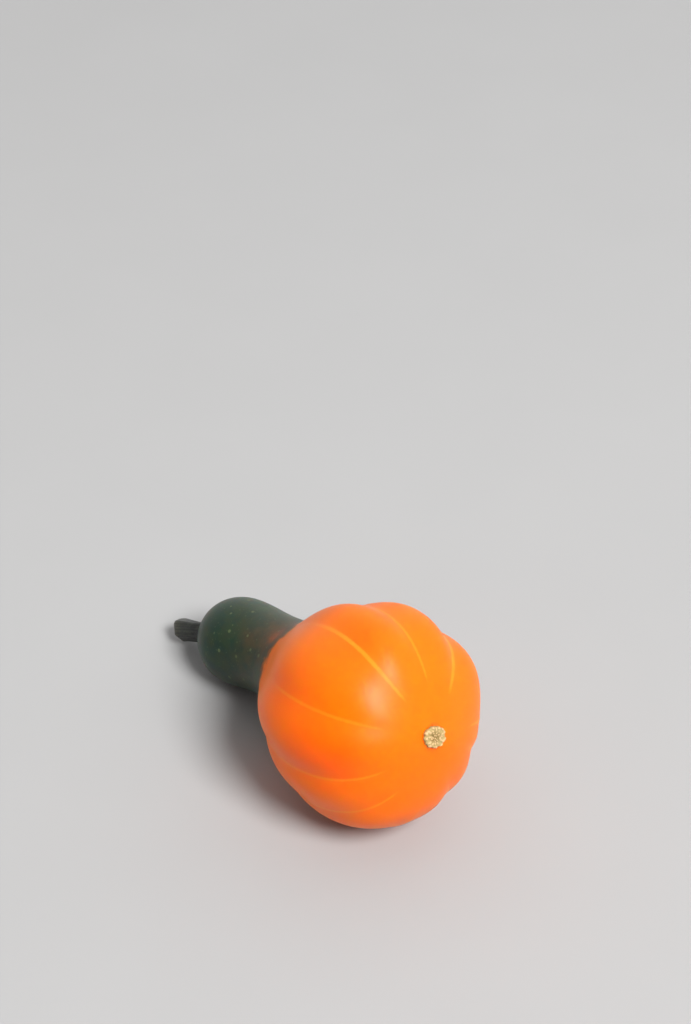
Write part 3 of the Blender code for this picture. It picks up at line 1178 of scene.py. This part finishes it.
    def neck(self, nodes: Shading, place: Socket) -> Socket:
        """Dark green that wavers bluer or more olive, rusty next to the bulb, with a pale painted sheen of
        grazing light.

        Args:
            nodes: The material's nodes.
            place: The point on the skin, in millimetres.

        Returns:
            The neck's colour.
        """
        blotch = nodes.noise(place, 7.0, detail=4.0, roughness=0.6)
        colour = nodes.mix(nodes.rise(blotch, 0.40, 0.60), self.blue_green, self.leaf_green)
        near_bulb = nodes.rise(nodes.value_of("along_axis"), *self.olive_edge)
        brown = nodes.rise(nodes.noise(place, 5.0, detail=4.0), 0.35, 0.65, 0.15, 1.0)
        colour = nodes.mix(nodes.maths(Sum.TIMES, near_bulb, brown), colour, self.olive)
        worn = nodes.rise(nodes.noise(place, 1.6, detail=3.0), 0.30, 0.62, 0.7, 1.0)
        colour = nodes.mix(nodes.maths(Sum.TIMES, nodes.value_of("rusty"), worn), colour, self.rust)
        # Painted sheen: pale grey-green patches stand for grazing light on the neck's top and the bulb's
        # edge.
        return nodes.mix(nodes.value_of("painted_sheen"), colour, self.painted_sheen)

    def specks(self, nodes: Shading, place: Socket, colour: Socket, greenness: Socket) -> Socket:
        """Pale specks of uneven size, scattered over the green, and much finer ones between them.

        Args:
            nodes: The material's nodes.
            place: The point on the skin, in millimetres.
            colour: The colour below the specks.
            greenness: How green the skin is.

        Returns:
            The speckled colour.
        """
        for spacing, largest, rarity, clarity in self.speck_layers:
            distance, chance = nodes.spots(place, spacing)
            size = nodes.rise(chance, rarity, 1.0, 0.0, largest)
            mask = nodes.rise(nodes.maths(Sum.LESS, size, distance), -0.08, 0.45, 0.0, clarity)
            colour = nodes.mix(nodes.maths(Sum.TIMES, mask, greenness), colour, self.speck)
        return colour


@dataclass(frozen=True)
class BarkFinish(Finish):
    """The stem's dull grey-green bark and its paler cut end."""

    bark: Colour = (0.036, 0.040, 0.030)
    # The darkest bark, in blotches and also laid as painted shade in the furrows between the fibres.
    dark: Colour = (0.014, 0.015, 0.015)
    olive: Colour = (0.070, 0.066, 0.045)
    pale: Colour = (0.17, 0.17, 0.14)
    cut: Colour = (0.30, 0.28, 0.21)
    roughness: float = 0.58

    def material(self) -> bpy.types.Material:
        """Paints shade into the furrows between the fibres, and lightens the worn rim and the cut.

        Returns:
            The bark's material.
        """
        nodes = Shading("stem_bark")
        place = nodes.place()
        along = nodes.value_of("along_stem")
        blotch = nodes.noise(place, 1.6, detail=5.0, roughness=0.65)
        colour = nodes.mix(nodes.rise(blotch, 0.35, 0.65), self.dark, self.bark)
        colour = nodes.mix(nodes.rise(along, 8.0, 15.5, 0.0, 0.65), colour, self.olive)
        # Painted shade: the furrows between the fibres are darkened.
        colour = nodes.mix(nodes.rise(nodes.value_of("fibre"), 0.2, 1.0, 0.0, 0.55), colour, self.dark)
        fleck = nodes.rise(nodes.noise(place, 0.45, detail=3.0), 0.58, 0.72, 0.0, 0.4)
        colour = nodes.mix(fleck, colour, self.olive)
        colour = nodes.mix(nodes.rise(along, 14.0, 15.9, 0.0, 0.85), colour, self.pale)
        face = nodes.mix(nodes.rise(nodes.noise(place, 0.6, detail=4.0), 0.35, 0.65), self.pale, self.cut)
        colour = nodes.mix(nodes.value_of("on_cut"), colour, face)
        relief = nodes.bump(nodes.noise(place, 0.5, detail=4.0, roughness=0.65), 0.12, 0.6)
        return nodes.finish(
            {
                "Base Color": colour,
                "Roughness": self.roughness,
                "Normal": relief,
                "Sheen Weight": 0.12,
                "Sheen Roughness": 0.4,
            }
        )


@dataclass(frozen=True)
class CorkFinish(Finish):
    """The scar's dry cork: cream on the knobs, khaki between them, and olive brown painted as shade in the
    pits.
    """

    cream: Colour = (0.74, 0.48, 0.25)
    khaki: Colour = (0.44, 0.32, 0.125)
    olive_brown: Colour = (0.22, 0.135, 0.03)
    roughness: float = 0.80

    def material(self) -> bpy.types.Material:
        """Colours the cork by the height of its knobs and the distance from its middle, with painted shade
        in the pits.

        Returns:
            The cork's material.
        """
        nodes = Shading("scar_cork")
        place = nodes.place()
        # Painted shade: the pits between the knobs near the middle turn olive brown.
        colour = nodes.mix(nodes.value_of("pit"), self.khaki, self.olive_brown)
        colour = nodes.mix(nodes.rise(nodes.value_of("knob"), 0.30, 0.95), colour, self.cream)
        fleck = nodes.rise(nodes.noise(place, 0.5, detail=3.0), 0.42, 0.62, 0.0, 0.45)
        colour = nodes.mix(fleck, colour, self.khaki)
        relief = nodes.bump(nodes.noise(place, 0.22, detail=3.0, roughness=0.6), 0.08, 0.6)
        return nodes.finish({"Base Color": colour, "Roughness": self.roughness, "Normal": relief})


@dataclass(frozen=True)
class FloorFinish(Finish):
    """Smooth pale grey card, with its colour, its darkest shade as a share of that, and its dullness."""

    grey: Colour = (0.417, 0.414, 0.413)
    darkest: float = 0.985
    roughness: float = 0.9

    def material(self) -> bpy.types.Material:
        """A dull grey with the faintest unevenness.

        Returns:
            The card's material.
        """
        nodes = Shading("floor_card")
        place = nodes.place()
        shade = nodes.rise(nodes.noise(place, 60.0, detail=2.0), 0.2, 0.8)
        darker = tuple(self.darkest * part for part in self.grey)
        colour = nodes.mix(shade, darker, self.grey)
        return nodes.finish({"Base Color": colour, "Roughness": self.roughness, "Specular IOR Level": 0.2})


def settle(obj: bpy.types.Object, piece: Piece, material: bpy.types.Material) -> bpy.types.Object:
    """Gives a piece its finish and puts it in the place of the solid of the same name.

    Args:
        obj: The piece.
        piece: Which piece it is.
        material: Its finish.

    Returns:
        The piece.
    """
    obj.data.materials.append(material)
    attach(obj, "root")
    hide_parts(piece.node)
    log.info("%s: %d faces, for the solid %s", obj.name, len(obj.data.polygons), piece.node)
    return obj


@dataclass
class PhotoView:
    """The camera, placed so that the bulb's centre falls on its pixel and the view has no roll.

    Attributes:
        target: The bulb's centre, in millimetres.
        azimuth: The camera's azimuth about the target, in degrees; 0 looks along +Y.
        elevation: Its elevation above the target, in degrees.
        distance: Its distance from the target, in millimetres.
        target_pixel: Where the target falls in the picture.
        picture: The picture's width and height in pixels.
        focal_pixels: The focal length in pixels.
        sensor: The sensor's long side, in millimetres.
        clip: The nearest and the farthest distance that it shows, in metres.
    """

    target: tuple[float, float, float]
    azimuth: float = 51.84
    elevation: float = 44.82
    distance: float = 768.0
    target_pixel: tuple[float, float] = (370.1, 712.0)
    picture: tuple[int, int] = (691, 1024)
    focal_pixels: float = 2200.0
    sensor: float = 36.0
    clip: tuple[float, float] = (0.01, 50.0)

    def pitch_and_heading(self, to_target: Vector) -> tuple[float, float]:
        """Solves the camera's downward pitch and its heading.

        In the camera's own frame the target lies at x to the right and y up for a depth of one. Without
        roll, its rise in the world is y times the pitch's cosine less the pitch's sine, which gives the
        pitch, and x against the forward part then gives the heading.

        Args:
            to_target: The unit direction from the camera to the target.

        Returns:
            The pitch and the heading, in radians.
        """
        x = (self.target_pixel[0] - self.picture[0] / 2.0) / self.focal_pixels
        y = (self.picture[1] / 2.0 - self.target_pixel[1]) / self.focal_pixels
        size = math.sqrt(x * x + y * y + 1.0)
        pitch = math.acos(to_target.z * size / math.hypot(1.0, y)) - math.atan2(1.0, y)
        forward = y * math.sin(pitch) + math.cos(pitch)
        heading = math.atan2(to_target.y, to_target.x) + math.atan2(x, forward)
        return pitch, heading

    def build(self) -> bpy.types.Object:
        """Makes the scene's camera.

        Returns:
            The camera.
        """
        turn = math.radians(self.azimuth)
        rise = math.radians(self.elevation)
        back = Vector((math.sin(turn) * math.cos(rise), -math.cos(turn) * math.cos(rise), math.sin(rise)))
        pitch, heading = self.pitch_and_heading(-back)
        forward = direction(heading, -pitch)
        right = Vector((math.sin(heading), -math.cos(heading), 0.0))
        up = right.cross(forward)
        lens = bpy.data.cameras.new("photo_view")
        lens.sensor_width = self.sensor
        lens.lens = self.focal_pixels * self.sensor / max(self.picture)
        lens.clip_start, lens.clip_end = self.clip
        camera = bpy.data.objects.new("photo_view", lens)
        place = (Vector(self.target) + back * self.distance) * METRES_PER_MM
        turned = Matrix((right, up, -forward)).transposed().to_4x4()
        camera.matrix_world = Matrix.Translation(place) @ turned
        bpy.context.scene.collection.objects.link(camera)
        bpy.context.scene.camera = camera
        return camera


@dataclass(frozen=True)
class Lamp:
    """A soft round light that faces the fruit.

    Attributes:
        name: Its name.
        azimuth: Where it stands about the fruit, in degrees from +X towards +Y.
        elevation: How high it stands, in degrees.
        distance: Its distance, in metres.
        spread: How wide it looks from the fruit, in degrees.
        power: Its power, in watts.
        diffuse: Whether it lights matt surfaces.
        glossy: Whether it shows in the gloss of what it lights.
    """

    name: str
    azimuth: float
    elevation: float
    distance: float
    spread: float
    power: float
    diffuse: bool = True
    glossy: bool = True

    def build(self) -> bpy.types.Object:
        """Makes the light.

        Returns:
            The light.
        """
        light = bpy.data.lights.new(self.name, "AREA")
        light.shape = "DISK"
        light.size = 2.0 * self.distance * math.tan(math.radians(self.spread) / 2.0)
        light.energy = self.power
        obj = bpy.data.objects.new(self.name, light)
        towards = direction(math.radians(self.azimuth), math.radians(self.elevation))
        obj.location = towards * self.distance
        obj.rotation_euler = towards.to_track_quat("Z", "Y").to_euler()
        obj.visible_diffuse = self.diffuse
        obj.visible_glossy = self.glossy
        bpy.context.scene.collection.objects.link(obj)
        return obj


@dataclass
class Studio:
    """A pale floor under a soft key light, with a weak low light and a fill that leans to one side.

    Attributes:
        floor_half: Half the floor's width, in metres.
        lamps: The key light for matt surfaces, two lights that show in the gloss alone, and a weak light
            that stands low on another side.
        fill_strength: The mean brightness of the fill.
        fill_lean: The direction that the fill leans to, as long as its lean is strong.
        backdrop: The brightness of the plain backdrop.
    """

    floor_half: float = 8.0
    lamps: tuple[Lamp, ...] = (
        Lamp("soft_key", -1.0, 50.0, 4.0, 22.0, 222.0, glossy=False),
        Lamp("key_gloss", 8.0, 51.0, 4.0, 26.0, 190.0, diffuse=False),
        Lamp("foot_gloss", 2.0, 37.0, 4.0, 18.0, 60.0, diffuse=False),
        Lamp("low_fill", -98.0, 10.0, 3.0, 14.0, 8.0, glossy=False),
    )
    fill_strength: float = 0.384
    fill_lean: tuple[float, float, float] = (-1.1, 1.09, 0.46)
    backdrop: float = 0.62

    def floor(self) -> bpy.types.Object:
        """Makes the floor, which is not part of the object.

        Returns:
            The floor.
        """
        half = self.floor_half
        mesh = bpy.data.meshes.new("floor")
        corners = [(-half, -half, 0.0), (half, -half, 0.0), (half, half, 0.0), (-half, half, 0.0)]
        mesh.from_pydata(corners, [], [(0, 1, 2, 3)])
        mesh.materials.append(FloorFinish().material())
        obj = bpy.data.objects.new("floor", mesh)
        bpy.context.scene.collection.objects.link(obj)
        return obj

    def fill_light(self) -> None:
        """Lights the scene from all around, and shows the camera a plain pale backdrop.

        The brightness from a direction is the fill's strength times one plus the lean along that
        direction, and never less than nothing.
        """
        world = bpy.data.worlds.new("leaning_fill")
        world.use_nodes = True
        nodes = Nodes(world.node_tree)
        ways = nodes.node("TexCoord", {}).outputs["Generated"]
        lean = nodes.node("VectorMath", {0: ways, 1: self.fill_lean}, operation="DOT_PRODUCT")
        strength = nodes.maths(Sum.TIMES_PLUS, lean.outputs["Value"], self.fill_strength, self.fill_strength)
        seen = nodes.node("LightPath", {}).outputs["Is Camera Ray"]
        shown = nodes.node("Mix", {"Factor": seen, "A": strength, "B": self.backdrop}).outputs["Result"]
        light = nodes.tree.nodes["Background"]
        nodes.feed(light.inputs["Color"], (1.0, 1.0, 1.0))
        nodes.feed(light.inputs["Strength"], nodes.maths(Sum.LARGER, shown, 0.0))
        bpy.context.scene.world = world

    def build(self) -> None:
        """Builds the floor and the lights, and shows colours as they are."""
        self.floor()
        for lamp in self.lamps:
            lamp.build()
        self.fill_light()
        bpy.context.scene.view_settings.view_transform = "Standard"


def main() -> None:
    """Builds the gourd and its studio."""
    logging.basicConfig(level=logging.INFO, format="%(name)s: %(message)s")
    form = GourdForm()
    Fruit(form).build(SkinFinish())
    Stem(form).build(BarkFinish())
    BlossomScar(form).build(CorkFinish())
    PhotoView(form.centre).build()
    Studio().build()


if __name__ == "__main__":
    main()
